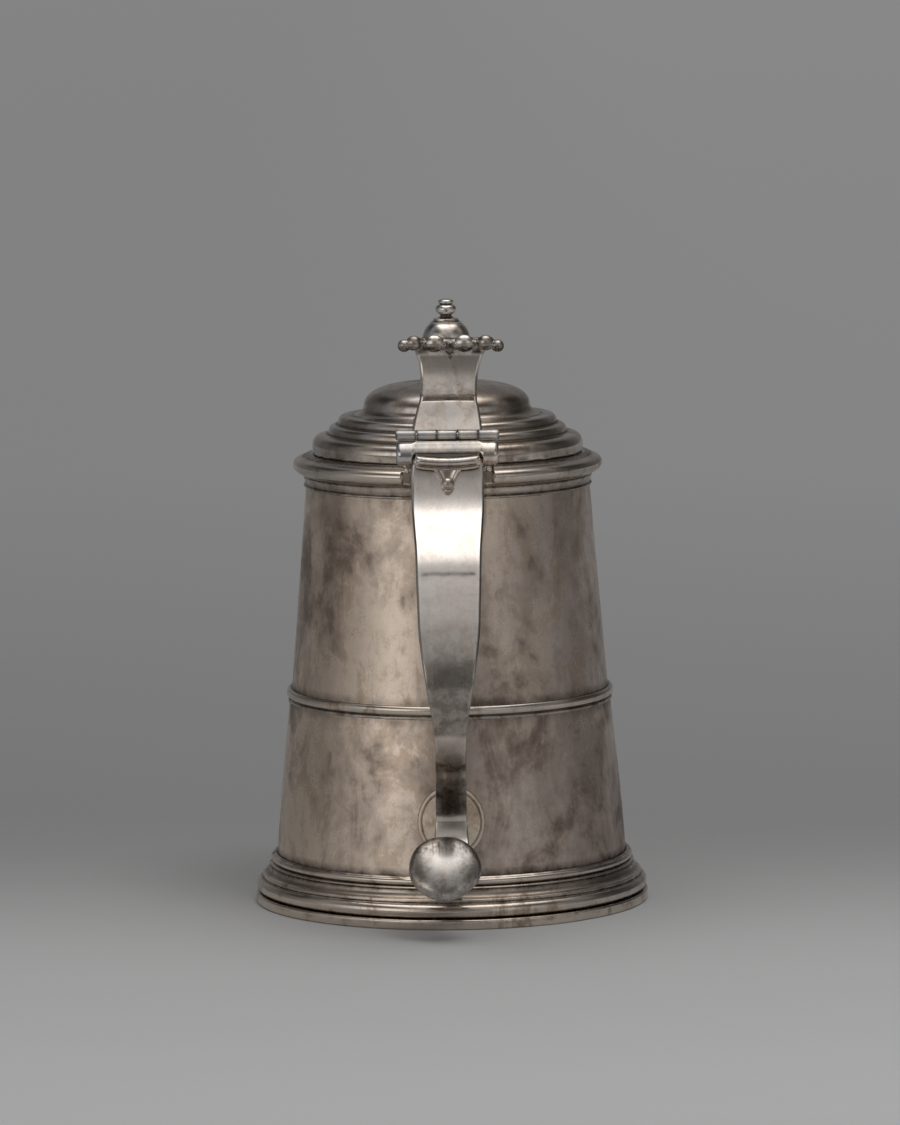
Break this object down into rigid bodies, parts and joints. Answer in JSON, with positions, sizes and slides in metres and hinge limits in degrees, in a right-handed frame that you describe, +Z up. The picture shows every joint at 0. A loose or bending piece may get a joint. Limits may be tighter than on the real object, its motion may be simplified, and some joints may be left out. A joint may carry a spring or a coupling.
{
  "type": "lidded tankard",
  "caption": "Tapering silver tankard on a moulded foot, with a stepped dome lid, turned finial, knuckle hinge, beaded thumbpiece and hollow scroll handle.",
  "frame": {"origin": "middle of the object's footprint box, on the surface it stands on", "axes": "+Z up; the handle and hinge are towards -Y; +X to the right as seen from behind the handle"},
  "size_m": [0.1334, 0.1722, 0.2045],
  "materials": {
    "barrel_silver": "aged silver, satin, with brown and purple tarnish",
    "moulding_silver": "aged silver, rubbed bright on the crests and dark in the grooves",
    "lid_silver": "aged silver, polished, lightly tarnished",
    "finial_silver": "aged silver, turned and polished",
    "handle_silver": "aged silver, worn bright by hands",
    "hinge_silver": "aged silver, dark in the joints"
  },
  "bodies": {
    "vessel": {"barrel": "barrel_silver", "foot_rim_wire": "moulding_silver", "foot_torus_moulding": "moulding_silver", "foot_ogee_moulding": "moulding_silver", "middle_band": "moulding_silver", "rim_moulding": "moulding_silver", "handle_strap": "handle_silver", "handle_trough": "handle_silver", "lower_joint_disc": "barrel_silver", "terminal_boss": "handle_silver", "handle_hinge_plate": "hinge_silver", "hinge_moulding": "hinge_silver", "pendant_drop": "hinge_silver", "hinge_pin": "hinge_silver", "handle_knuckle_1": "hinge_silver", "handle_knuckle_3": "hinge_silver", "handle_knuckle_5": "hinge_silver"},
    "lid": {"lid_dome": "lid_silver", "lid_brim": "moulding_silver", "lid_bezel": "moulding_silver", "finial": "finial_silver", "lid_hinge_leaf": "hinge_silver", "thumbpiece": "handle_silver", "lid_knuckle_2": "hinge_silver", "lid_knuckle_4": "hinge_silver"}
  },
  "joints": [
    {"name": "lid_hinge", "type": "hinge", "parent": "vessel", "child": "lid", "pos_m": [0, -0.03711, 0.1639], "axis": [1, 0, 0], "range_deg": [0, 110]}
  ]
}
